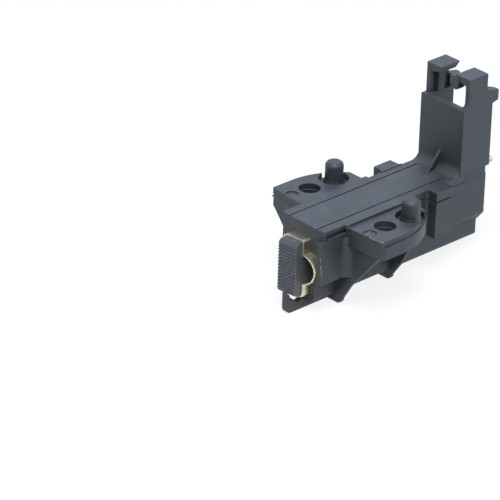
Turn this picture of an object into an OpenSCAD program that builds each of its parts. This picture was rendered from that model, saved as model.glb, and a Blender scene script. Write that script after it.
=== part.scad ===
// Carbon brush in a moulded holder: a brass guide with a spring-loaded carbon block, held
// between a lower shell with ears and pegs and a cover with ears and a connector tower.
// X points to the contact face, Y to the side with the guide's half-round bulge, Z up.
// The origin is midway between the two screw holes, on the seating face of the ears.

/* [Mounting ears] */
// Centre distance of the two screw holes
hole_spacing = 24.4; // [24:0.1:25.5]
// Diameter of the screw hole in the cover
cover_hole_d = 5.1; // [4.8:0.1:5.4]
// Diameter of the screw hole in the lower shell
shell_hole_d = 4.4; // [4.2:0.1:4.6]
// Width over both ears
ears_w = 36.4; // [35.4:0.2:37]
// Thickness of the lower shell's part of an ear
ear_t = 3.1; // [2.5:0.1:3.6]
// Distance from the screw line to the front edge of an ear
ear_front = 7; // [6.4:0.1:7.5]
// Distance from the screw line to the rear edge of an ear
ear_rear = 12.7; // [12.2:0.1:14]
// Diameter of a locating peg
peg_d = 4.3; // [4:0.1:4.6]
// Height of a locating peg above the seating face
peg_h = 4.3; // [3.5:0.1:6]
// Distance from the screw line back to the pegs
peg_back = 7.9; // [7.6:0.1:8.2]
// Centre distance of the two pegs
peg_spacing = 24.8; // [24.4:0.1:25.2]

/* [Housing] */
// Length of the housing from the deck's front end to the rear wall
body_len = 52.4; // [50:0.2:56]
// Width of the housing behind the ears
body_w = 13.2; // [13:0.1:13.8]
// Distance from the deck's front end back to the screw line
hole_to_front = 13.6; // [13:0.1:14.5]
// Height of the deck above the seating face
deck_rise = 0.6; // [0.5:0.1:1]
// Thickness of the cover's plate
cover_t = 2; // [1.8:0.1:2.4]
// Width of the deck over its two overhanging rails
deck_w = 15; // [14.6:0.1:15.2]
// Thickness of the housing's outer walls
wall_t = 1.2; // [1:0.1:1.4]
// Thickness of the floor under the guide
floor_t = 1.85; // [1.2:0.05:2]
// Thickness of the walls beside the guide in the lower channel
channel_wall = 1.3; // [1:0.05:1.4]
// Depth of the gussets below the floor
gusset_drop = 1.95; // [1.5:0.05:3]
// Thickness of a gusset
gusset_t = 0.9; // [0.7:0.1:1.2]
// Reach of the keel's leg in front of the deck's front end
keel_reach = 5.1; // [4.9:0.1:6]
// Thickness of the keel
keel_t = 1.3; // [1:0.1:1.6]

/* [Connector tower] */
// Depth of the tower from its front wall to the housing's rear
tower_depth = 9.4; // [9:0.1:10.5]
// Height of the tower's posts above the deck
post_h = 23.85; // [22.5:0.1:26]
// Height of the tower's front wall above the deck
front_wall_h = 16.5; // [15:0.1:17]
// Thickness of the tower's front wall
front_wall_t = 1.6; // [1.3:0.1:1.9]
// Width of the tower over its side walls
tower_w = 13.6; // [13.4:0.1:14.2]
// Thickness of the tower's side walls
side_wall_t = 2.1; // [1.9:0.1:2.3]

/* [Carbon and guide] */
// Width of the carbon block
carbon_w = 5; // [4.8:0.1:5.2]
// Height of the carbon block
carbon_h = 13.5; // [13:0.1:13.8]
// Length of the carbon block
carbon_len = 28; // [24:0.5:29]
// Reach of the carbon in front of the guide
carbon_reach = 2; // [1:0.1:2.4]
// Running clearance between the carbon and each wall of the guide
slide_gap = 0.05; // [0.03:0.01:0.08]
// Thickness of the guide's brass sheet
sheet_t = 0.35; // [0.3:0.05:0.45]
// Reach of the guide in front of the deck's front end
guide_reach = 2.8; // [2.4:0.1:3.2]
// Length of the guide
guide_len = 43.8; // [43:0.1:45]
// Inner radius of the guide's half-round bulge
bulge_r = 3.4; // [3:0.05:3.5]
// Slant of the guide's mouth and the contact face, in degrees
mouth_slant = 7; // [0:1:9]
// Number of turns in the spring
spring_turns = 12; // [10:1:13]
// Outer diameter of the spring
spring_d = 4.4; // [4.2:0.1:4.6]
// Diameter of the spring's wire
wire_d = 0.5; // [0.4:0.05:0.55]
// Diameter of the copper braid
braid_d = 1.6; // [1.2:0.1:1.8]

/* [Terminal] */
// Width of the blade
blade_w = 6.3; // [6:0.1:6.4]
// Thickness of the blade
blade_t = 0.8; // [0.7:0.05:0.85]
// Reach of the blade behind the housing
blade_reach = 5.8; // [5:0.1:8]
// Diameter of the hole in the blade
blade_hole_d = 1.6; // [1.2:0.1:2]

/* [Hidden] */
$fn = 48;

plastic = [0.30, 0.32, 0.36];
cover_plastic = [0.36, 0.39, 0.43];
brass = [0.72, 0.66, 0.46];
carbon_grey = [0.24, 0.26, 0.30];
steel = [0.62, 0.63, 0.65];
copper = [0.75, 0.46, 0.36];

// clearance of pieces that are laid into the housing
seat_gap = 0.05;
// gap where a moving piece meets a soft one
touch_gap = 0.02;
// small overlap that fuses pieces of one moulding
weld = 0.2;
// extra length of a cut that goes right through
over = 1;

// stations along X
deck_front = hole_to_front;
rear_end = deck_front - body_len;
shell_front = deck_front;
tower_front = rear_end + tower_depth;
post_front = tower_front - 1.5;
post_rear = rear_end + 2;
guide_front = deck_front + guide_reach;
guide_rear = guide_front - guide_len;
carbon_front = guide_front + carbon_reach;
carbon_rear = carbon_front - carbon_len;
bulge_rear = -ear_rear + wall_t;
step_x = tower_front - 1.9;
chamber_rear = rear_end + wall_t;
hook_tip = rear_end - 1.8;

// levels along Z
deck_z = deck_rise;
split_z = deck_z - cover_t;
guide_drop = 0.85;
guide_in_w = carbon_w + 2 * slide_gap;
guide_in_h = carbon_h + 2 * slide_gap;
guide_out_w = guide_in_w + 2 * sheet_t;
guide_out_h = guide_in_h + 2 * sheet_t;
guide_top = split_z - guide_drop;
guide_mid = guide_top - guide_out_h / 2;
guide_bottom = guide_top - guide_out_h;
floor_z = guide_bottom - floor_t;
ear_bottom = split_z - ear_t;
keel_z = floor_z - gusset_drop - 0.45;
rear_split_z = deck_z + 0.1;
blade_top = deck_z - 1.1;
blade_bottom = blade_top - blade_t;
sill_z = deck_z - 6.4;
post_top = deck_z + post_h;
hook_top = deck_z + 19.6;

// half-widths along Y
body_half = body_w / 2;
seat_half = guide_out_w / 2 + seat_gap;
channel_half = seat_half + channel_wall;
cavity_half = body_half - wall_t;
bulge_y = guide_in_w / 2;
bulge_out_r = bulge_r + sheet_t;
bulge_wall = bulge_y + bulge_out_r + seat_gap + 0.75;
ear_half = ears_w / 2;
cover_ear_half = ear_half - 0.4;
tower_half = tower_w / 2;
channel_space = tower_half - side_wall_t;
post_t = side_wall_t - 0.85;
blade_body_half = cavity_half - 0.1;
rear_gap_half = blade_w / 2 + 0.6;

// slope from the wide upper body to the narrow channel
slope_top = deck_z - 11.5;
slope_bottom = deck_z - 14.4;
floor_r = 1.5;
end_r = 1.1;
tail_r = 1.3;
front_r = 0.3;

// snap blocks beside the rear deck
block_front = tower_front + 10.25;
block_len = 5.3;
block_shift = 1.4;
block_half = body_half + 2.9;
block_bottom = slope_top;
block_fillet = 0.7;
block_gap = 0.4;

// faint steps and gaps along the split between shell and cover
riser_step = 0.12;
slot_h = 0.2;
slot_deep = 0.35;
riser_half = body_half - riser_step;

// a profile in Y and Z, drawn out along X
module along_x(x0, x1) {
    translate([x0, 0, 0]) rotate([90, 0, 90]) linear_extrude(x1 - x0) children();
}

// a profile in X and Z, drawn out along Y
module across_y(y0, y1) {
    translate([0, y1, 0]) rotate([90, 0, 0]) linear_extrude(y1 - y0) children();
}

// a profile in X and Y, drawn up along Z
module up_z(z0, z1) {
    translate([0, 0, z0]) linear_extrude(z1 - z0) children();
}

// the same shape on both sides
module both_sides() {
    children();
    mirror([0, 1, 0]) children();
}

// rectangle given by two corners
module box2d(x0, x1, y0, y1) {
    translate([x0, y0]) square([x1 - x0, y1 - y0]);
}

// rectangle with four round corners
module round_rect(x0, x1, y0, y1, r) {
    box2d(x0 + r, x1 - r, y0, y1);
    box2d(x0, x1, y0 + r, y1 - r);
    for (x = [x0 + r, x1 - r], y = [y0 + r, y1 - r]) translate([x, y]) circle(r);
}

// cross-section of the lower shell without its cavity
module shell_section() {
    polygon([
        [-body_half, split_z], [-body_half, slope_top], [-channel_half, slope_bottom],
        [-channel_half, floor_z + floor_r], [channel_half, floor_z + floor_r],
        [channel_half, slope_bottom], [body_half, slope_top], [body_half, split_z]
    ]);
    round_rect(-channel_half, channel_half, floor_z, slope_bottom, floor_r);
}

// plan of the housing with its rounded upright edges
module housing_plan() {
    round_rect(rear_end, 0, -body_half, body_half, end_r);
    round_rect(-body_len / 2, shell_front, -body_half, body_half, front_r);
}

// plan of the narrow channel below the housing
module channel_plan() {
    round_rect(rear_end, shell_front, -channel_half, channel_half, front_r + 0.6);
    box2d(0, shell_front, -channel_half, channel_half);
}

// plan of both ears: straight in front, swept round to the rear, with rounded front corners
module ear_plan(half, corner_r) {
    sweep_x = 0.4;
    slant = 0.8;
    corner_x = ear_front - slant + 2 * slant * corner_r / half - corner_r;
    corner_y = half - corner_r;
    intersection() {
        polygon([
            [ear_front, 0], [ear_front, half / 2], [ear_front - slant, half],
            [-ear_rear, half], [-ear_rear, -half],
            [ear_front - slant, -half], [ear_front, -half / 2]
        ]);
        union() {
            translate([sweep_x, 0]) circle(half, $fn = 96);
            box2d(sweep_x, ear_front, -half, half);
        }
        union() {
            box2d(-ear_rear, corner_x, -half, half);
            box2d(-ear_rear, ear_front, -corner_y, corner_y);
            for (side = [-1, 1]) translate([corner_x, side * corner_y]) circle(corner_r);
        }
    }
}

// plate across the housing that carries the ears: free edges run down to the floor
module gusset(x, top_y, knee_y, tip_y, deeper) {
    knee_z = slope_bottom - 1;
    tip_z = floor_z - gusset_drop - deeper;
    tip_r = 1.4;
    along_x(x - gusset_t, x) {
        polygon([
            [top_y, ear_bottom + weld], [top_y - 0.4, ear_bottom], [knee_y, knee_z],
            [tip_y + tip_r, tip_z + tip_r], [tip_y, tip_z], [-tip_y, tip_z],
            [-tip_y - tip_r, tip_z + tip_r], [-knee_y, knee_z],
            [-top_y + 0.4, ear_bottom], [-top_y, ear_bottom + weld]
        ]);
        for (s = [-1, 1]) translate([s * tip_y, tip_z + tip_r]) circle(tip_r);
    }
}

// web under the front of the floor, ending in an upturned leg below the carbon
module keel() {
    leg_front = deck_front + keel_reach;
    leg_back = leg_front - 1.1;
    leg_top = guide_mid - carbon_h / 2 + 0.6;
    bar_top = floor_z - 0.3;
    corner_r = 1.6;
    across_y(-keel_t / 2, keel_t / 2) {
        polygon([
            [ear_front - 1, floor_z + weld], [ear_front - 1, keel_z],
            [leg_front - corner_r, keel_z], [leg_front, keel_z + corner_r],
            [leg_front, leg_top], [leg_back + 0.75, leg_top], [leg_back, leg_top - 0.8],
            [leg_back, bar_top], [shell_front + 1.3, bar_top], [shell_front - 0.4, floor_z + weld]
        ]);
        translate([leg_front - corner_r, keel_z + corner_r]) circle(corner_r);
    }
}

// plan of one snap block with hollow fillets to the wall
module block_plan(out_y) {
    box2d(block_front - block_len, block_front, body_half - weld, out_y);
    for (end = [0, 1]) {
        mid = block_front - end * block_len;
        dir = end == 0 ? 1 : -1;
        difference() {
            box2d(min(mid, mid + dir * block_fillet), max(mid, mid + dir * block_fillet),
                body_half - weld, body_half + block_fillet);
            translate([mid + dir * block_fillet, body_half + block_fillet]) circle(block_fillet);
        }
    }
}

// plans of both snap blocks: the one away from the bulge sits further forward
module both_blocks() {
    block_plan(block_half);
    translate([block_shift, 0]) mirror([0, 1]) block_plan(block_half);
}

// wall that wraps the guide's bulge, with a column at the front corner
module bulge_housing() {
    fillet = 2.2;
    gusset_front = ear_front - 0.6;
    up_z(slope_top - 1.5, split_z)
        box2d(-ear_rear + 0.6, shell_front - 0.9, 0, bulge_wall);
    up_z(slope_top - 1.5, split_z - block_gap)
        round_rect(shell_front - 1.5, shell_front + 1.4, body_half - 1.2, bulge_wall, 0.5);
    // hollow fillet to the gusset
    up_z(slope_top - 1.5, split_z - 1) difference() {
        box2d(gusset_front - weld, gusset_front + fillet, bulge_wall - weld, bulge_wall + fillet);
        translate([gusset_front + fillet, bulge_wall + fillet]) circle(fillet);
    }
}

// locating peg with a conical foot in its notch and a rounded top
module peg() {
    dome = 1.1;
    foot_d = peg_d + 0.7;
    wall_end = peg_h - dome;
    translate([-peg_back, peg_spacing / 2, 0]) {
        translate([0, 0, split_z - weld]) cylinder(d = peg_d, h = wall_end - split_z + weld);
        translate([0, 0, split_z - weld]) cylinder(d = foot_d, h = weld);
        translate([0, 0, split_z]) cylinder(d1 = foot_d, d2 = peg_d, h = -split_z);
        rotate_extrude() {
            intersection() {
                translate([peg_d / 2 - dome, wall_end]) circle(dome);
                box2d(0, peg_d / 2, wall_end - weld, peg_h);
            }
            box2d(0, peg_d / 2 - dome, wall_end - weld, peg_h);
        }
    }
}

// space inside the lower shell: guide seat, side pockets between ribs, chamber at the rear
module shell_cavity() {
    rib_t = 1;
    rib_stations = [ear_front - 0.4, 1.5, -ear_rear + 2.4, guide_rear + 8, guide_rear + 1];
    up_z(guide_bottom, deck_z + over)
        box2d(guide_rear - seat_gap, shell_front + 2, -seat_half, seat_half);
    along_x(bulge_rear - seat_gap, shell_front + 2) translate([bulge_y, guide_mid])
        circle(bulge_out_r + seat_gap);
    difference() {
        up_z(slope_top + 1, deck_z + over)
            box2d(guide_rear, shell_front - 1.6, -cavity_half, cavity_half);
        for (x = rib_stations)
            up_z(floor_z, deck_z + 2 * over) box2d(x - rib_t, x, -body_half, body_half);
    }
    up_z(slope_top, deck_z + over)
        box2d(chamber_rear, guide_rear + weld, -rear_gap_half, rear_gap_half);
    up_z(sill_z, deck_z + over)
        box2d(rear_end - over, chamber_rear + weld, -rear_gap_half, rear_gap_half);
    up_z(blade_bottom, deck_z + over)
        box2d(chamber_rear, step_x + 0.6, -cavity_half, cavity_half);
}

module lower_shell() {
    color(plastic) difference() {
        union() {
            intersection() {
                along_x(rear_end, shell_front) shell_section();
                across_y(-body_half, body_half)
                    round_rect(rear_end, shell_front + tail_r, floor_z, split_z + tail_r, tail_r);
                union() {
                    up_z(floor_z - over, slope_bottom) channel_plan();
                    up_z(slope_bottom - weld / 2, split_z) housing_plan();
                }
            }
            // raised rear walls, set in by a faint step
            up_z(split_z - weld, rear_split_z) {
                round_rect(rear_end + riser_step, step_x, -riser_half, riser_half, end_r);
                box2d(step_x - 2 * end_r, step_x, -riser_half, riser_half);
            }
            bulge_housing();
            up_z(ear_bottom, split_z) ear_plan(ear_half, 1.4);
            gusset(ear_front - 0.6, ear_half - 0.9, 8.3, 4.4, 0);
            gusset(-ear_rear + 2, ear_half - 5.1, 7.5, 3, 0.25);
            keel();
            up_z(block_bottom, split_z - block_gap) both_blocks();
            both_sides() peg();
        }
        shell_cavity();
        both_sides() translate([0, hole_spacing / 2, ear_bottom - over])
            cylinder(d = shell_hole_d, h = ear_t + 2 * over);
    }
}

// deck with its rails: they overhang beside the ears, and less in front of them
module deck() {
    rail_end = -ear_rear - 0.5;
    rail_step = ear_front + 0.4;
    rail_t = 0.9;
    front_half = deck_w / 2 - 0.65;
    up_z(split_z, deck_z) {
        round_rect(step_x, deck_front, -body_half, body_half, front_r);
        box2d(step_x, 0, -body_half, body_half);
    }
    up_z(deck_z - rail_t, deck_z) {
        round_rect(rail_end, rail_step, -deck_w / 2, deck_w / 2, front_r);
        round_rect(rail_end, deck_front, -front_half, front_half, front_r);
    }
}

// fillet and centre rib at the foot of the tower
module tower_foot() {
    foot_r = 2.4;
    rib_h = 4.55;
    rib_reach = 3.95;
    across_y(-body_half, body_half) difference() {
        box2d(tower_front - weld, tower_front + foot_r, deck_z - weld, deck_z + foot_r);
        translate([tower_front + foot_r, deck_z + foot_r]) circle(foot_r);
    }
    across_y(-0.3, 0.3) polygon([
        [tower_front - weld, deck_z - weld], [tower_front + rib_reach, deck_z - weld],
        [tower_front + rib_reach, deck_z], [tower_front, deck_z + rib_h],
        [tower_front - weld, deck_z + rib_h]
    ]);
}

// outline of a side wall with its hook at the rear
module side_wall_profile() {
    shoulder = deck_z + front_wall_h;
    polygon([
        [tower_front, rear_split_z], [tower_front, shoulder],
        [post_rear, shoulder], [post_rear, hook_top],
        [hook_tip, hook_top - 0.7], [hook_tip, hook_top - 3.3],
        [rear_end, hook_top - 3.7], [rear_end, rear_split_z]
    ]);
}

// bevel along an upright inner edge of a side wall
module inner_bevel(x, z0, z1) {
    bevel = 0.9;
    up_z(z0, z1) polygon([
        [x + bevel + over, channel_space - over],
        [x - over, channel_space + bevel + over], [x - over, channel_space - over]
    ]);
}

module side_wall() {
    difference() {
        across_y(channel_space, tower_half) side_wall_profile();
        inner_bevel(hook_tip, hook_top - 3.7, hook_top + over);
        inner_bevel(rear_end, rear_split_z - over, hook_top - 3.7);
    }
}

// thin upper post with its middle rib and the roof that reaches inwards
module post() {
    base = deck_z + front_wall_h - weld;
    roof_in = 2.3;
    lead_in = 2.5;
    lip_t = 0.1;
    across_y(tower_half - post_t, tower_half) box2d(post_rear, post_front, base, post_top);
    across_y(channel_space, tower_half - weld)
        box2d(post_front - 3.7, post_front - 1.8, base, post_top - weld);
    difference() {
        along_x(post_rear, post_front) polygon([
            [tower_half - weld, post_top], [roof_in, post_top], [roof_in, post_top - 1.25],
            [tower_half - post_t, post_top - 1.9], [tower_half - weld, post_top - 1.9]
        ]);
        across_y(roof_in - over, tower_half - post_t) polygon([
            [post_rear - over, post_top + over - lip_t],
            [post_rear + lead_in, post_top - lead_in - lip_t],
            [post_rear - over, post_top - lead_in - lip_t]
        ]);
    }
}

// hollow fillet at the foot of the post on the bulge side
module post_foot() {
    shoulder = deck_z + front_wall_h;
    reach = tower_front - post_front;
    across_y(tower_half - post_t, tower_half) difference() {
        box2d(post_front - weld, tower_front, shoulder - weld, shoulder + reach);
        translate([tower_front, shoulder + reach]) circle(reach);
    }
}

// latch tooth under the roof on the bulge side
module latch_tooth() {
    tooth_top = post_top - 0.35;
    along_x(post_front - 1.8, post_front + 0.4) polygon([
        [3.5, tooth_top], [0.8, tooth_top], [0.8, post_top - 2.5],
        [2.7, post_top - 3.6], [3.3, post_top - 3.3], [3.5, post_top - 1.8]
    ]);
}

module tower() {
    both_sides() side_wall();
    up_z(split_z, deck_z + front_wall_h)
        box2d(tower_front - front_wall_t, tower_front, -body_half, body_half);
    up_z(deck_z, deck_z + front_wall_h)
        box2d(tower_front - front_wall_t, tower_front, -tower_half, tower_half);
    both_sides() up_z(deck_z - weld, rear_split_z + weld)
        box2d(step_x, tower_front, channel_space, body_half);
    both_sides() post();
    post_foot();
    latch_tooth();
    tower_foot();
    // floor of the connector space, which keeps the blade down
    up_z(blade_top, deck_z)
        box2d(post_rear, tower_front - weld, -blade_body_half, blade_body_half);
}

// tabs that reach over the snap blocks
module cover_tabs() {
    up_z(split_z, deck_z + 0.2) both_blocks();
}

module cover() {
    groove_w = 0.35;
    groove_y = 4.28;
    mark_y = hole_spacing / 2 + 0.33;
    mark_d = 3.2;
    lip_half = seat_half - seat_gap;
    mark_deep = 0.3;
    color(cover_plastic) difference() {
        union() {
            deck();
            up_z(split_z, 0) ear_plan(cover_ear_half, 0.3);
            cover_tabs();
            tower();
            // lip above the guide's mouth, and ribs that hold the guide down
            for (x = [deck_front, 2.5, -8, -18])
                up_z(guide_top, split_z + weld) box2d(x - 1.2, x, -lip_half, lip_half);
        }
        both_sides() {
            translate([0, hole_spacing / 2, split_z - over])
                cylinder(d = cover_hole_d, h = cover_t + 2 * over);
            translate([-peg_back, peg_spacing / 2, split_z - over])
                cylinder(d = peg_d + 2.8, h = cover_t + 2 * over);
            // ejector marks on the ears
            translate([5.1, mark_y, -mark_deep]) cylinder(d = mark_d, h = over);
            // narrow gap left open along the split
            up_z(split_z - over, split_z + slot_h)
                box2d(step_x, -ear_rear - 0.5, body_half - slot_deep, body_half);
            up_z(rear_split_z - over, rear_split_z + slot_h)
                box2d(rear_end - over, step_x, tower_half - slot_deep, tower_half + over);
            up_z(split_z - over, rear_split_z + slot_h)
                box2d(step_x - weld, step_x + slot_h, body_half - slot_deep, tower_half + over);
            // grooves between the deck and its rails
            up_z(deck_z - groove_w, deck_z + over)
                box2d(tower_front + 2.4, deck_front + over, groove_y, groove_y + groove_w);
        }
        // undercut below the rails in front of the ears
        both_sides() up_z(split_z - over, deck_z - 0.9)
            box2d(ear_front, deck_front - 1.2, body_half - 0.4, ear_half);
    }
}

module guide_body(grow, rear_cut) {
    round_r = 0.25 + grow;
    along_x(guide_rear + rear_cut, guide_front + 2) round_rect(
        -guide_in_w / 2 - grow, guide_in_w / 2 + grow,
        guide_mid - guide_in_h / 2 - grow, guide_mid + guide_in_h / 2 + grow, round_r);
    along_x(bulge_rear + rear_cut, guide_front + 2)
        translate([bulge_y, guide_mid]) circle(bulge_r + grow);
}

// everything in front of the slanted mouth plane at a station
module mouth_cut(x) {
    translate([x, 0, 0]) rotate([0, 0, mouth_slant])
        translate([0, -20, floor_z - over]) cube([20, 40, 30]);
}

module brush_guide() {
    color(brass) difference() {
        guide_body(sheet_t, 0);
        guide_body(0, sheet_t);
        mouth_cut(guide_front);
        translate([guide_rear - over, 0, guide_mid]) rotate([0, 90, 0])
            cylinder(d = braid_d + 0.8, h = sheet_t + 2 * over);
    }
}

module carbon_block() {
    ridge_pitch = 0.8;
    ridge_depth = 0.3;
    ridges = floor(carbon_h / ridge_pitch) + 1;
    edge = 0.9;
    z0 = guide_mid - carbon_h / 2;
    boss_d = spring_d - 2 * wire_d - 0.4;
    color(carbon_grey) difference() {
        union() {
            along_x(carbon_rear, carbon_front + 1)
                round_rect(-carbon_w / 2, carbon_w / 2, z0, z0 + carbon_h, 0.35);
            translate([carbon_rear - boss_len, 0, guide_mid]) rotate([0, 90, 0])
                cylinder(d = boss_d, h = boss_len + weld);
        }
        // ridged contact face, with its upper and lower edges bevelled
        translate([carbon_front, 0, 0]) rotate([0, 0, mouth_slant]) across_y(-carbon_w, carbon_w)
            polygon(concat(
                [for (i = [0 : ridges]) each [
                    [0, z0 + (i - 0.5) * ridge_pitch],
                    [-ridge_depth, z0 + i * ridge_pitch]
                ]],
                [[5, z0 + carbon_h + over], [5, z0 - over]]
            ));
        for (side = [-1, 1]) translate([carbon_front, 0, guide_mid + side * carbon_h / 2])
            rotate([0, 0, mouth_slant]) rotate([0, 45, 0])
                cube([edge * sqrt(2), 2 * carbon_w, edge * sqrt(2)], center = true);
    }
}

// tube of a few sides swept along a route of points
module swept_tube(route, radius, sides) {
    n = len(route);
    dir = function(i) let (d = route[min(i + 1, n - 1)] - route[max(i - 1, 0)]) d / norm(d);
    side_of = function(d) let (s = cross(d, abs(d[2]) < 0.9 ? [0, 0, 1] : [0, 1, 0])) s / norm(s);
    points = [for (i = [0 : n - 1]) let (d = dir(i), u = side_of(d), v = cross(d, u))
        for (k = [0 : sides - 1]) let (a = 360 * k / sides)
            route[i] + radius * (cos(a) * u + sin(a) * v)];
    walls = [for (i = [0 : n - 2], k = [0 : sides - 1]) let (j = (k + 1) % sides)
        each [[i * sides + k, i * sides + j, (i + 1) * sides + j],
              [i * sides + k, (i + 1) * sides + j, (i + 1) * sides + k]]];
    first = [[for (k = [sides - 1 : -1 : 0]) k]];
    last = [[for (k = [0 : sides - 1]) (n - 1) * sides + k]];
    polyhedron(points, concat(walls, first, last));
}

// coil spring between the guide's rear wall and the carbon
module spring() {
    steps = 20;
    front = carbon_rear - wire_d / 2 - touch_gap;
    back = guide_rear + sheet_t + wire_d / 2;
    coil_r = (spring_d - wire_d) / 2;
    closed = wire_d * 1.05;
    open_pitch = (front - back - 2 * closed) / (spring_turns - 2);
    at = function(t) t < 1 ? t * closed
        : t < spring_turns - 1 ? closed + (t - 1) * open_pitch
        : closed + (spring_turns - 2) * open_pitch + (t - spring_turns + 1) * closed;
    color(steel) swept_tube([for (i = [0 : spring_turns * steps]) let (t = i / steps)
        [back + at(t), coil_r * cos(360 * t), guide_mid + coil_r * sin(360 * t)]],
        wire_d / 2, 6);
}

// route of the braid: out of the carbon, through the spring, up to the blade's underside
boss_len = 1.2;
bend_gap = 1.2;
braid_reach = 1.7;
braid_side = 1.1;
braid_start = [carbon_rear - boss_len - touch_gap, 0, guide_mid];
braid_bend = [guide_rear - bend_gap, 0, guide_mid];
braid_end = [chamber_rear + braid_reach, braid_side, blade_bottom - 3 * touch_gap];

module braid() {
    rise = braid_end - braid_bend;
    lead = braid_bend - braid_start;
    straight = [for (i = [0 : 8]) braid_start + lead * i / 8];
    curve = [for (i = [1 : 12]) let (t = i / 12, e = t * t * (3 - 2 * t))
        braid_bend + [rise[0] * sin(90 * t), rise[1] * e, rise[2] * (1 - cos(90 * t))]];
    color(copper) swept_tube(concat(straight, curve), braid_d / 2, 10);
}

module terminal_tab() {
    tip = rear_end - blade_reach;
    tip_r = 1.2;
    hole_back = 2.7;
    shoulder_x = chamber_rear + 0.4;
    body_front = step_x - seat_gap;
    color(brass) difference() {
        up_z(blade_bottom, blade_top) {
            round_rect(tip, shoulder_x + 2, -blade_w / 2, blade_w / 2, tip_r);
            box2d(shoulder_x, body_front, -blade_body_half, blade_body_half);
        }
        translate([tip + hole_back, 0, blade_bottom - over])
            cylinder(d = blade_hole_d, h = blade_t + 2 * over);
    }
}

lower_shell();
cover();
brush_guide();
carbon_block();
spring();
braid();
terminal_tab();
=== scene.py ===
import math
import random

import bmesh
import bpy
from mathutils import Matrix, Vector


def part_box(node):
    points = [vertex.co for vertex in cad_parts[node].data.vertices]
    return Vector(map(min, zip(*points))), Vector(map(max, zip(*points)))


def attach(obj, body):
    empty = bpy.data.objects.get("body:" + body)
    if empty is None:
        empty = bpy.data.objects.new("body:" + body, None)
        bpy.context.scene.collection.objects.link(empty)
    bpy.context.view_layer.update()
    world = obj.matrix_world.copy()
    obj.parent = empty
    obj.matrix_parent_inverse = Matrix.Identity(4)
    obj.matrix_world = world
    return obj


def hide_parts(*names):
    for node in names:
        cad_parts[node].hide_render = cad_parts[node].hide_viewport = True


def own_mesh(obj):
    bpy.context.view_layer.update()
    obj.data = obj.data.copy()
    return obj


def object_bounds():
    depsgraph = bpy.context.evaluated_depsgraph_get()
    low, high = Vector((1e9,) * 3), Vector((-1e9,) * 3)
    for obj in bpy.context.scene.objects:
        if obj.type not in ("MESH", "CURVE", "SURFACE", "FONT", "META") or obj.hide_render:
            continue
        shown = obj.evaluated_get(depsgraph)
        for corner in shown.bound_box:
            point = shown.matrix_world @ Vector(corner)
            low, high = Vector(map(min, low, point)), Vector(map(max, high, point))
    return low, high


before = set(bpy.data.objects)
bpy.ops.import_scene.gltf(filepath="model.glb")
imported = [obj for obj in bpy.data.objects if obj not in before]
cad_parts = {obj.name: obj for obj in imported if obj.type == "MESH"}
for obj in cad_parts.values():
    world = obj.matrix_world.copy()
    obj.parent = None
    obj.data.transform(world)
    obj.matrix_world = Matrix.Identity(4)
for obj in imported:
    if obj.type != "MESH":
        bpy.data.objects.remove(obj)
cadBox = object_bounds()
print("frame loaded")

mm = 0.001


# a shader value: the operators on it add Math nodes
class Value:
    def __init__(self, finish, socket):
        self.finish = finish
        self.socket = socket

    def combine(self, operation, first, second, clamp=False):
        settings = {"operation": operation, "use_clamp": clamp}
        return self.finish.node("ShaderNodeMath", settings, {0: first, 1: second})

    def __add__(self, other):
        return self.combine("ADD", self, other)

    def __radd__(self, other):
        return self.combine("ADD", other, self)

    def __sub__(self, other):
        return self.combine("SUBTRACT", self, other)

    def __rsub__(self, other):
        return self.combine("SUBTRACT", other, self)

    def __mul__(self, other):
        return self.combine("MULTIPLY", self, other)

    def __rmul__(self, other):
        return self.combine("MULTIPLY", other, self)

    def absolute(self):
        return self.combine("ABSOLUTE", self, 0)

    def above(self, level, width):  # 0 below the level, 1 above it, soft over the width
        return self.combine("DIVIDE", self - level, width, clamp=True)


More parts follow.
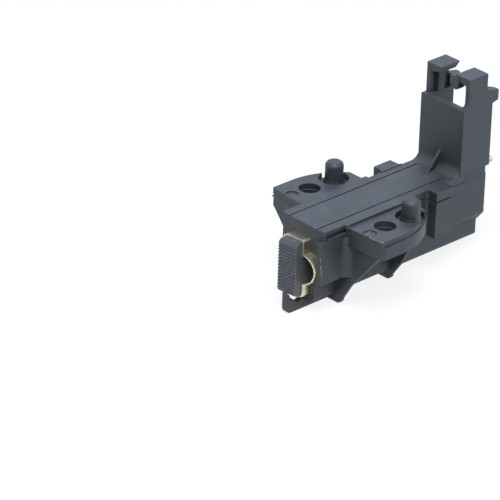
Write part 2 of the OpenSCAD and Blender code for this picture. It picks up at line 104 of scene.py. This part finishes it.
# the nodes of one material, or of the world
class Finish:
    def __init__(self, owner):
        owner.use_nodes = True
        self.owner = owner
        self.nodes = owner.node_tree.nodes
        self.links = owner.node_tree.links
        self.nodes.clear()
        self.coordinates = None

    @property
    def place(self):  # where on the piece, in its own coordinates
        if self.coordinates is None:
            self.coordinates = self.node("ShaderNodeTexCoord", output="Object")
        return self.coordinates

    def node(self, kind, settings=None, inputs=None, output=0):
        made = self.nodes.new(kind)
        for key, value in (settings or {}).items():
            setattr(made, key, value)
        for key, value in (inputs or {}).items():
            if isinstance(value, Value):
                self.links.new(value.socket, made.inputs[key])
            else:
                made.inputs[key].default_value = value
        return Value(self, made.outputs[output]) if len(made.outputs) else None

    def noise(self, scale, detail, rough, turn=(0, 0, 0)):  # three scales stretch it along the axes
        place = self.place
        if isinstance(scale, tuple):
            stretch = {"Vector": place, "Scale": scale, "Rotation": turn}
            place, scale = self.node("ShaderNodeMapping", None, stretch), 1
        inputs = {"Vector": place, "Scale": scale, "Detail": detail, "Roughness": rough}
        return self.node("ShaderNodeTexNoise", None, inputs)

    def patches(self, scale, detail, rough, level, width):
        return self.noise(scale, detail, rough).above(level, width)

    def dots(self, scale, radius, soft):  # 1 in a dot at each cell's heart
        inputs = {"Vector": self.place, "Scale": scale}
        return 1 - self.node("ShaderNodeTexVoronoi", {"feature": "F1"}, inputs).above(radius, soft)

    def blend(self, factor, first, second):
        def full(shade):
            return shade if isinstance(shade, Value) else (*shade, 1)

        inputs = {0: factor, 6: full(first), 7: full(second)}
        return self.node("ShaderNodeMix", {"data_type": "RGBA"}, inputs, output=2)

    def layered(self, tone, layers):  # each layer's mask lays its colour over the ones before
        for mask, shade in layers:
            tone = self.blend(mask, tone, shade)
        return tone

    def rounded(self, radius):
        return self.node("ShaderNodeBevel", {"samples": 8}, {"Radius": radius})

    def facing(self):
        return self.node("ShaderNodeNewGeometry", output="Normal")

    def edges(self, soft):  # 1 on the edges that the rounded normal bends, 0 on flat faces
        dot = {"operation": "DOT_PRODUCT"}
        same = self.node("ShaderNodeVectorMath", dot, {0: soft, 1: self.facing()}, output="Value")
        return (1 - same).above(0.02, 0.2)

    def corners(self, reach):  # 1 deep in corners and recesses, 0 where the surface is open
        settings = {"samples": 8, "only_local": True}
        openness = self.node("ShaderNodeAmbientOcclusion", settings, {"Distance": reach}, "AO")
        return (1 - openness).above(0.18, 0.45)

    def bump(self, height, distance, strength, normal=None):
        inputs = {"Height": height, "Distance": distance, "Strength": strength}
        if normal is not None:
            inputs["Normal"] = normal
        return self.node("ShaderNodeBump", None, inputs)

    def mixed(self, factor, first, second):
        return self.node("ShaderNodeMixShader", None, {0: factor, 1: first, 2: second})

    def finished(self, shader, kind="ShaderNodeOutputMaterial"):
        self.node(kind, None, {"Surface": shader})
        return self.owner

    def surface(self, inputs):
        return self.finished(self.node("ShaderNodeBsdfPrincipled", None, inputs))


def newFinish(name):
    return Finish(bpy.data.materials.new(name))


# In the dictionaries below a noise has its scale, detail and roughness. Patches add the level where they
# begin and the width of their edge. Dots have their scale, radius and the width of their edge.

# dark moulded plastic of the shell and the cover
plastic = {
    "tone": (0.036, 0.041, 0.046),
    "pale": (0.055, 0.061, 0.069),
    "deep": (0.024, 0.027, 0.031),
    "rubAndHighlight": (0.110, 0.120, 0.132),
    # colour of the painted light on faces that look upward
    "paintedTopLight": (0.077, 0.086, 0.098),
    "smudge": (0.114, 0.125, 0.136),
    # colour of the painted shade in corners, recesses and on downward faces
    "shade": (0.010, 0.010, 0.011),
    "speck": (0.25, 0.26, 0.27),
    "roughness": 0.46,
    "gloss": 0.60,
    "glossTint": (0.80, 0.92, 1.0, 1.0),
    "edgeRadius": 0.22 * mm,
    "shadeReach": 4 * mm,
    "grainDepth": 0.02 * mm,
    "grainStrength": 0.55,
    "upward": (0.72, 0.2),
    "under": (0.25, 0.3),
    "grain": (5200, 2, 0.5),
    "cloudPatches": (110, 3, 0.55, 0.38, 0.26),
    "flowPatches": ((90, 420, 420), 3, 0.6, 0.42, 0.2),
    "wearPatches": (420, 2, 0.5, 0.42, 0.16),
    "smudgePatches": (260, 4, 0.7, 0.56, 0.12),
    "scratchPatches": (170, 1, 0.5, 0.57, 0.06),
    "scratchGrain": ((260, 1900, 1900), 1, 0.4),
    "scratchTurn": (0.2, 0.5, 0.35),
    "scratchEdge": (0.004, 0.010),
    "speckPatches": (300, 1, 0.5, 0.66, 0.03),
    "speckDots": (620, 0.045, 0.030),
}


def mouldedPlastic(name, lift):
    f = newFinish(name)
    tone, pale, deep = ([c * lift for c in plastic[key]] for key in ("tone", "pale", "deep"))
    soft = f.rounded(plastic["edgeRadius"])
    grain = f.noise(*plastic["grain"])
    cloud = f.patches(*plastic["cloudPatches"])
    flow = f.patches(*plastic["flowPatches"])
    # edges paler in patches: partly rubbed wear, partly a painted highlight along the edges
    edgeWearAndHighlight = f.edges(soft) * f.patches(*plastic["wearPatches"])
    height = f.node("ShaderNodeSeparateXYZ", None, {"Vector": f.facing()}, output="Z")
    upward = height.above(*plastic["upward"])
    under = (0 - height).above(*plastic["under"])
    smudge = f.patches(*plastic["smudgePatches"])
    corner = f.corners(plastic["shadeReach"])
    # a scratch runs where stretched noise crosses its middle
    hair = (f.noise(*plastic["scratchGrain"], plastic["scratchTurn"]) - 0.5).absolute()
    scratch = (1 - hair.above(*plastic["scratchEdge"])) * f.patches(*plastic["scratchPatches"])
    speck = f.dots(*plastic["speckDots"]) * f.patches(*plastic["speckPatches"])
    tone = f.layered(tone, (
        (cloud * 0.6, pale),
        (flow * 0.35, deep),
        # painted light: faces that look upward are made paler, more where the cloud is pale
        (upward * (0.16 + cloud * 0.40), plastic["paintedTopLight"]),
        (upward * smudge * 0.45, plastic["smudge"]),
        # painted shade: darker deep in corners and recesses, and on faces that look downward
        (corner * 0.85, plastic["shade"]),
        (under * 0.65, plastic["shade"]),
        (edgeWearAndHighlight * 0.6, plastic["rubAndHighlight"]),
        (scratch * 0.35, plastic["rubAndHighlight"]),
        (speck * 0.8, plastic["speck"]),
    ))
    rough = plastic["roughness"] + cloud * 0.08 - edgeWearAndHighlight * 0.08
    rough = rough + scratch * 0.1 + corner * 0.15 + under * 0.1
    relief = grain * 0.6 + cloud * 0.2 - scratch * 0.8
    return f.surface({
        "Base Color": tone,
        "Roughness": rough,
        "Specular IOR Level": plastic["gloss"],
        "Specular Tint": plastic["glossTint"],
        "Normal": f.bump(relief, plastic["grainDepth"], plastic["grainStrength"], soft),
    })


# sheet brass of the guide and the blade
brass = {
    "bright": (0.82, 0.77, 0.60),
    "dull": (0.55, 0.50, 0.36),
    "tarnish": (0.33, 0.30, 0.22),
    # colour of the edges: worn metal and painted highlight
    "edge": (0.92, 0.90, 0.80),
    "roughness": 0.24,
    "edgeRadius": 0.05 * mm,
    "rollDepth": 0.008 * mm,
    "guideRolling": ((40, 1500, 1500), 3, 0.6),
    "bladeRolling": ((60, 1300, 1300), 3, 0.6),
    "dullPatches": (190, 3, 0.6, 0.44, 0.2),
    "stainPatches": (420, 3, 0.6, 0.60, 0.1),
}


def rolledBrass(name, rolling):
    f = newFinish(name)
    soft = f.rounded(brass["edgeRadius"])
    # all edges paler: partly bright worn metal, partly a painted highlight along the edges
    edgeWearAndHighlight = f.edges(soft)
    rolled = f.noise(*rolling)
    dull = f.patches(*brass["dullPatches"])
    stain = f.patches(*brass["stainPatches"])
    return f.surface({
        "Base Color": f.layered(brass["bright"], (
            (dull * 0.7, brass["dull"]),
            (stain * 0.6, brass["tarnish"]),
            (rolled.above(0.44, 0.14) * 0.5, brass["tarnish"]),
            (edgeWearAndHighlight * 0.8, brass["edge"]),
        )),
        "Metallic": 1.0,
        "Roughness": brass["roughness"] + dull * 0.14 + rolled * 0.12 - edgeWearAndHighlight * 0.1,
        "Normal": f.bump(rolled, brass["rollDepth"], 0.5, soft),
    })


# pressed and ground carbon
graphite = {
    "base": (0.120, 0.134, 0.156),
    "dark": (0.056, 0.062, 0.073),
    "cloud": (0.130, 0.142, 0.158),
    # colour of the painted highlight on the carbon's edges
    "edge": (0.29, 0.31, 0.345),
    "sparkle": (0.30, 0.32, 0.35),
    "roughness": 0.50,
    "edgeRadius": 0.12 * mm,
    "gritDepth": 0.03 * mm,
    "grit": (3600, 3, 0.65),
    "drag": ((300, 300, 3200), 2, 0.5),
    "cloudPatches": (260, 3, 0.5, 0.40, 0.25),
    "glintPatches": (900, 1, 0.5, 0.5, 0.08),
    "glintDots": (2600, 0.10, 0.06),
}


def pressedGraphite(name):
    f = newFinish(name)
    soft = f.rounded(graphite["edgeRadius"])
    grit = f.noise(*graphite["grit"])
    drag = f.noise(*graphite["drag"])
    cloud = f.patches(*graphite["cloudPatches"])
    glint = f.dots(*graphite["glintDots"]) * f.patches(*graphite["glintPatches"])
    return f.surface({
        "Base Color": f.layered(graphite["dark"], (
            (grit.above(0.35, 0.4), graphite["base"]),
            (cloud * 0.35, graphite["cloud"]),
            # painted highlight: every edge of the carbon is made paler
            (f.edges(soft), graphite["edge"]),
            (glint * 0.7, graphite["sparkle"]),
        )),
        "Metallic": 0.15 + glint * 0.5,
        "Roughness": graphite["roughness"] - cloud * 0.10 + grit * 0.08,
        "Normal": f.bump(grit * 0.7 + drag * 0.5, graphite["gritDepth"], 0.6, soft),
    })


# drawn wire of the spring
steel = {
    "dark": (0.46, 0.46, 0.47),
    "bright": (0.62, 0.62, 0.63),
    "roughness": 0.28,
    "drawnDepth": 0.006 * mm,
    "drawn": ((900, 900, 900), 2, 0.5),
}


def drawnSteel(name):
    f = newFinish(name)
    drawn = f.noise(*steel["drawn"])
    return f.surface({
        "Base Color": f.blend(drawn.above(0.4, 0.3), steel["dark"], steel["bright"]),
        "Metallic": 1.0,
        "Roughness": steel["roughness"] + drawn * 0.15,
        "Normal": f.bump(drawn, steel["drawnDepth"], 0.4),
    })


# bare copper of the braid
copper = {
    "bright": (0.78, 0.40, 0.27),
    "dull": (0.50, 0.25, 0.17),
    "roughness": 0.32,
    "wireDepth": 0.02 * mm,
    "wires": ((2600, 4200, 4200), 2, 0.5),
    "dullPatches": (700, 2, 0.5, 0.42, 0.2),
}


def bareCopper(name):
    f = newFinish(name)
    dull = f.patches(*copper["dullPatches"])
    return f.surface({
        "Base Color": f.blend(dull, copper["bright"], copper["dull"]),
        "Metallic": 1.0,
        "Roughness": copper["roughness"] + dull * 0.15,
        "Normal": f.bump(f.noise(*copper["wires"]), copper["wireDepth"], 0.6),
    })


# plastic that tore or was rubbed pale
torn = {
    "dark": (0.13, 0.145, 0.16),
    "pale": (0.36, 0.37, 0.38),
    "roughness": 0.42,
    "tearDepth": 0.03 * mm,
    "palePatches": (1500, 2, 0.6, 0.42, 0.2),
}


def tornPlastic(name):
    f = newFinish(name)
    pale = f.patches(*torn["palePatches"])
    return f.surface({
        "Base Color": f.blend(pale, torn["dark"], torn["pale"]),
        "Roughness": torn["roughness"] + pale * 0.2,
        "Normal": f.bump(pale, torn["tearDepth"], 0.6),
    })


shellFinish = mouldedPlastic("shellPlastic", 0.96)
coverFinish = mouldedPlastic("coverPlastic", 1.04)
guideFinish = rolledBrass("guideBrass", brass["guideRolling"])
bladeFinish = rolledBrass("bladeBrass", brass["bladeRolling"])
carbonFinish = pressedGraphite("graphite")
steelFinish = drawnSteel("springSteel")
copperFinish = bareCopper("braidCopper")
flashFinish = tornPlastic("tornFlash")
print("materials made")

nodeFinishes = {
    "lower_shell": shellFinish,
    "cover": coverFinish,
    "brush_guide": guideFinish,
    "carbon_block": carbonFinish,
    "terminal_tab": bladeFinish,
    "spring": steelFinish,
    "braid": copperFinish,
}
for node, finish in nodeFinishes.items():
    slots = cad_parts[node].data.materials
    slots.clear()
    slots.append(finish)


def addPiece(name, bm, finish, body):
    bmesh.ops.recalc_face_normals(bm, faces=bm.faces)
    mesh = bpy.data.meshes.new(name)
    bm.to_mesh(mesh)
    bm.free()
    mesh.materials.append(finish)
    piece = bpy.data.objects.new(name, mesh)
    bpy.context.scene.collection.objects.link(piece)
    for face in mesh.polygons:
        face.use_smooth = True
    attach(piece, body)
    return piece


# spring: closed turns at both ends, open turns between them
spring = {
    "turns": 12,
    "closedPitch": 0.525 * mm,
    "wire": 0.25 * mm,
    "coil": 1.95 * mm,
    "wireSides": 10,
    "stepsPerTurn": 36,
}


def makeSpring():
    low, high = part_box("spring")
    axisY, axisZ = (low.y + high.y) / 2, (low.z + high.z) / 2
    start = low.x + spring["wire"]
    travel = high.x - low.x - 2 * spring["wire"]
    bm = bmesh.new()
    end = Matrix.Translation((start, axisY + spring["coil"], axisZ)) @ Matrix.Rotation(math.pi, 4, "X")
    bmesh.ops.create_circle(bm, segments=spring["wireSides"], radius=spring["wire"], matrix=end)
    ring = list(bm.verts) + list(bm.edges)
    openTurns = spring["turns"] - 2
    openPitch = (travel - 2 * spring["closedPitch"]) / openTurns
    closed = (1, spring["closedPitch"])
    for turns, pitch in (closed, (openTurns, openPitch), closed):
        steps = turns * spring["stepsPerTurn"]
        made = bmesh.ops.spin(
            bm, geom=ring, cent=(start, axisY, axisZ), axis=(1, 0, 0), dvec=(pitch * turns / steps, 0, 0),
            angle=2 * math.pi * turns, steps=steps, use_merge=False, use_duplicate=False,
        )
        ring = made["geom_last"]
    bmesh.ops.remove_doubles(bm, verts=bm.verts, dist=0.001 * mm)
    bmesh.ops.holes_fill(bm, edges=[e for e in bm.edges if e.is_boundary], sides=0)
    piece = addPiece("springCoil", bm, steelFinish, "holder")
    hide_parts("spring")
    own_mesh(piece)


def addTube(bm, points, radius, sides):  # a ring is extruded from point to point
    places = []
    for i, point in enumerate(points):
        ahead = points[min(i + 1, len(points) - 1)] - points[max(i - 1, 0)]
        places.append(Matrix.Translation(point) @ ahead.to_track_quat("Z", "Y").to_matrix().to_4x4())
    verts = bmesh.ops.create_circle(bm, segments=sides, radius=radius, matrix=places[0])["verts"]
    edges = list({edge for vert in verts for edge in vert.link_edges})
    firstRing = edges
    for before, after in zip(places, places[1:]):
        made = bmesh.ops.extrude_edge_only(bm, edges=edges)["geom"]
        verts = [v for v in made if isinstance(v, bmesh.types.BMVert)]
        edges = [e for e in made if isinstance(e, bmesh.types.BMEdge)]
        bmesh.ops.transform(bm, matrix=after @ before.inverted(), verts=verts)
    bmesh.ops.holes_fill(bm, edges=firstRing + edges, sides=0)


# braid: strands wound both ways round a core, from the carbon to the blade, in millimetres
braid = {
    "start": (-10.82, 0, -9.4),
    "bend": (-28.6, 0, -9.4),
    "end": (-35.9, 1.1, -1.36),
    "strands": 7,
    "strand": 0.15,
    "strandSides": 6,
    "core": 0.42,
    "coreSides": 8,
    "reach": 0.56,
    "weave": 0.08,
    "lay": 0.42,
    "leadSteps": 90,
    "tailSteps": 60,
}


def braidStrand(route, lengths, share, way):
    points = []
    for i, point in enumerate(route):
        ahead = (route[min(i + 1, len(route) - 1)] - route[max(i - 1, 0)]).normalized()
        across = (Vector((0, 1, 0)) - ahead * ahead.y).normalized()
        upward = ahead.cross(across)
        angle = 2 * math.pi * (share + way * lengths[i] * braid["lay"] / math.pi)
        reach = braid["reach"] + way * braid["weave"] * math.sin(braid["strands"] * angle)
        points.append((point + (across * math.cos(angle) + upward * math.sin(angle)) * reach) * mm)
    return points


def makeBraid():
    start, bend, end = (Vector(braid[key]) for key in ("start", "bend", "end"))
    rise = end - bend
    lead = [start.lerp(bend, i / braid["leadSteps"]) for i in range(braid["leadSteps"] + 1)]
    tail = []
    for i in range(braid["tailSteps"] + 1):
        t = i / braid["tailSteps"]
        quarter = t * math.pi / 2
        x, z = rise.x * math.sin(quarter), rise.z * (1 - math.cos(quarter))
        tail.append(bend + Vector((x, rise.y * t * t * (3 - 2 * t), z)))
    travelled = 0
    for name, route in (("braidLead", lead), ("braidTail", tail)):
        lengths = [travelled]
        for first, second in zip(route, route[1:]):
            lengths.append(lengths[-1] + (second - first).length)
        travelled = lengths[-1]
        bm = bmesh.new()
        for way in (-1, 1):
            for k in range(braid["strands"]):
                points = braidStrand(route, lengths, k / braid["strands"], way)
                addTube(bm, points, braid["strand"] * mm, braid["strandSides"])
        addTube(bm, [point * mm for point in route], braid["core"] * mm, braid["coreSides"])
        piece = addPiece(name, bm, copperFinish, "holder")
        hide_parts("braid")
        if name == "braidLead":
            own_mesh(piece)


# flash and torn specks that the moulding left, in millimetres
flash = {
    "seed": 7,
    "edge": ((6.74, 14.1, 0.0), (6.24, 17.6, 0.0)),
    "beads": 22,
    "bigBeadsFrom": 15,
    "bigBead": 1.3,
    "beadSize": (0.06, 0.15),
    "sliver": (-5.15, -14.55, -0.1),
    "sliverTall": 1.5,
    "sliverFoot": 0.22,
    "sliverTip": 0.02,
    "sliverThin": 0.4,
    "streak": ((14.82, 7.06, -5.2), (14.35, 7.09, -10.6)),
    "streakBeads": 16,
    "streakSize": (0.04, 0.10),
    "streakTall": (1.5, 4.0),
    "specks": (  # place, size, and height against the size
        (1.74, 9.80, 0.00, 0.20, 0.6), (2.25, 18.12, -1.40, 0.16, 0.8), (14.72, 7.06, -6.10, 0.10, 3.0),
        (14.60, 7.08, -7.40, 0.08, 4.0), (14.40, 7.10, -8.90, 0.10, 3.0), (12.75, 6.95, -12.20, 0.16, 1.5),
        (-34.20, 2.32, 24.42, 0.24, 0.6), (5.95, -18.02, -2.30, 0.22, 1.0), (-29.80, 5.70, 0.56, 0.20, 0.5),
        (13.58, 3.48, 0.58, 0.16, 0.6), (6.70, 7.55, 0.10, 0.11, 2.6),
    ),
    "scratch": (
        (5.76, -2.92, 0.60), (6.54, -1.78, 0.60), (7.20, -0.55, 0.60), (7.62, 0.63, 0.60), (7.68, 1.60, 0.60),
    ),
    "scratchSize": (0.045, 0.015),
    "curls": ((4.35, 11.70), (5.35, 12.25), (4.55, 13.05), (5.55, 13.15)),  # in the near ear's round mark
    "curlDeep": -0.28,
    "curlLength": (0.3, 0.45),
    "curlWidth": (0.15, 0.25),
    "curlHeight": 0.16,
}


def addBlob(bm, place, size, turn=Matrix.Identity(4)):
    matrix = Matrix.Translation(Vector(place) * mm) @ turn @ Matrix.Diagonal((*[k * mm for k in size], 1))
    bmesh.ops.create_icosphere(bm, subdivisions=2, radius=1, matrix=matrix)


def makeFlash():
    rng = random.Random(flash["seed"])
    bm = bmesh.new()
    first, last = (Vector(point) for point in flash["edge"])
    for i in range(flash["beads"]):
        place = first.lerp(last, (i + rng.uniform(-0.4, 0.4)) / (flash["beads"] - 1))
        size = rng.uniform(*flash["beadSize"]) * (flash["bigBead"] if i >= flash["bigBeadsFrom"] else 1)
        addBlob(bm, place, (size, size * 1.6, size * 0.9))
    for x, y, z, size, tall in flash["specks"]:
        addBlob(bm, (x, y, z), (size, size * 0.8, size * tall))
    scratch = [Vector(point) for point in flash["scratch"]]
    for first, last in zip(scratch, scratch[1:]):
        along = (last - first).to_track_quat("X", "Z").to_matrix().to_4x4()
        addBlob(bm, (first + last) / 2, ((last - first).length / 2, *flash["scratchSize"]), along)
    for x, y in flash["curls"]:
        size = (rng.uniform(*flash["curlLength"]), rng.uniform(*flash["curlWidth"]), flash["curlHeight"])
        addBlob(bm, (x, y, flash["curlDeep"]), size)
    tall = flash["sliverTall"]
    foot = Matrix.Translation((Vector(flash["sliver"]) + Vector((0, 0, tall / 2))) * mm)
    thin = Matrix.Diagonal((1, flash["sliverThin"], 1, 1))
    bmesh.ops.create_cone(
        bm, cap_ends=True, segments=3, radius1=flash["sliverFoot"] * mm, radius2=flash["sliverTip"] * mm,
        depth=tall * mm, matrix=foot @ thin,
    )
    first, last = (Vector(point) for point in flash["streak"])
    for i in range(flash["streakBeads"]):
        size = rng.uniform(*flash["streakSize"])
        addBlob(bm, first.lerp(last, rng.random()), (size, size, size * rng.uniform(*flash["streakTall"])))
    addPiece("mouldFlash", bm, flashFinish, "holder")


makeSpring()
makeBraid()
makeFlash()
print("spring, braid and flash made")

# floor, lamps and surroundings: white to the camera and to reflections, plain and dim as a source of light
studio = {
    "floorSize": 3.0,
    "floorDrop": 0.05 * mm,
    "floorWhite": 0.82,
    "floorGlow": 0.85,
    "floorSeen": 0.23,
    "ambient": 0.055,
    "distance": 0.60,
    "size": 0.35,
    "lamps": {  # azimuth, elevation, power and colour
        "overCamera": (45, 65, 3.30, (1.0, 0.99, 1.0)),
        "right": (135, 15, 0.72, (0.34, 0.64, 1.0)),
        "side": (90, 25, 0.33, (1.0, 0.84, 0.88)),
        "behind": (225, 55, 0.74, (0.25, 0.50, 1.0)),
    },
}


def seenDirectly(f):
    rays = ("Is Camera Ray", "Is Glossy Ray", "Is Transmission Ray")
    camera, mirror, glass = (f.node("ShaderNodeLightPath", output=ray) for ray in rays)
    return (camera + mirror + glass).above(0, 1)


def makeFloor():
    bm = bmesh.new()
    place = Matrix.Translation((0, 0, cadBox[0].z - studio["floorDrop"]))
    bmesh.ops.create_grid(bm, x_segments=1, y_segments=1, size=studio["floorSize"] / 2, matrix=place)
    mesh = bpy.data.meshes.new("floor")
    bm.to_mesh(mesh)
    bm.free()
    f = newFinish("paleFloor")
    bounced = f.node("ShaderNodeBsdfDiffuse", None, {"Color": (*[studio["floorWhite"]] * 3, 1)})
    shaded = f.node("ShaderNodeBsdfDiffuse", None, {"Color": (*[studio["floorSeen"]] * 3, 1)})
    glow = f.node("ShaderNodeEmission", None, {"Color": (1, 1, 1, 1), "Strength": studio["floorGlow"]})
    white = f.node("ShaderNodeAddShader", None, {0: shaded, 1: glow})
    mesh.materials.append(f.finished(f.mixed(seenDirectly(f), bounced, white)))
    floor = bpy.data.objects.new("floor", mesh)
    bpy.context.scene.collection.objects.link(floor)


def makeWorld():
    f = Finish(bpy.data.worlds.new("studio"))
    dim = f.node("ShaderNodeBackground", None, {"Color": (1, 1, 1, 1), "Strength": studio["ambient"]})
    white = f.node("ShaderNodeBackground", None, {"Color": (1, 1, 1, 1), "Strength": 1.0})
    shader = f.mixed(seenDirectly(f), dim, white)
    bpy.context.scene.world = f.finished(shader, "ShaderNodeOutputWorld")


def addSoftbox(name, azimuth, elevation, power, colour):
    lamp = bpy.data.lights.new(name, "AREA")
    lamp.shape = "SQUARE"
    lamp.size = studio["size"]
    lamp.energy = power
    lamp.color = colour
    a, e = math.radians(azimuth), math.radians(elevation)
    place = Vector((math.cos(e) * math.cos(a), math.cos(e) * math.sin(a), math.sin(e))) * studio["distance"]
    box = bpy.data.objects.new(name, lamp)
    box.location = place
    box.rotation_mode = "QUATERNION"
    box.rotation_quaternion = (-place).to_track_quat("-Z", "Y")
    bpy.context.scene.collection.objects.link(box)


# fitted to the photo: the place in metres, the angles in radians
camera = {
    "place": (0.56959, 0.56368, 0.40873),
    "turn": -2.37781008,
    "pitch": 0.48332962,
    "roll": 0.03073257,
    "lens": 288.0,
    "sensor": 36,
    "clip": (0.05, 10),
}


def makeCamera():
    turn, pitch, roll = camera["turn"], camera["pitch"], camera["roll"]
    flat = Vector((math.sin(turn), math.cos(turn), 0))
    right = Vector((flat.y, -flat.x, 0))
    forward = flat * math.cos(pitch) - Vector((0, 0, math.sin(pitch)))
    up = flat * math.sin(pitch) + Vector((0, 0, math.cos(pitch)))
    across = right * math.cos(roll) + up * math.sin(roll)
    upward = up * math.cos(roll) - right * math.sin(roll)
    data = bpy.data.cameras.new("photoCamera")
    data.lens = camera["lens"]
    data.sensor_width = camera["sensor"]
    data.clip_start, data.clip_end = camera["clip"]
    made = bpy.data.objects.new("photoCamera", data)
    axes = Matrix((across, upward, -forward)).transposed().to_4x4()
    made.matrix_world = Matrix.Translation(camera["place"]) @ axes
    bpy.context.scene.collection.objects.link(made)
    bpy.context.scene.camera = made


makeFloor()
makeWorld()
for name, lamp in studio["lamps"].items():
    addSoftbox(name, *lamp)
makeCamera()
bpy.context.scene.view_settings.view_transform = "Standard"
print("studio made")
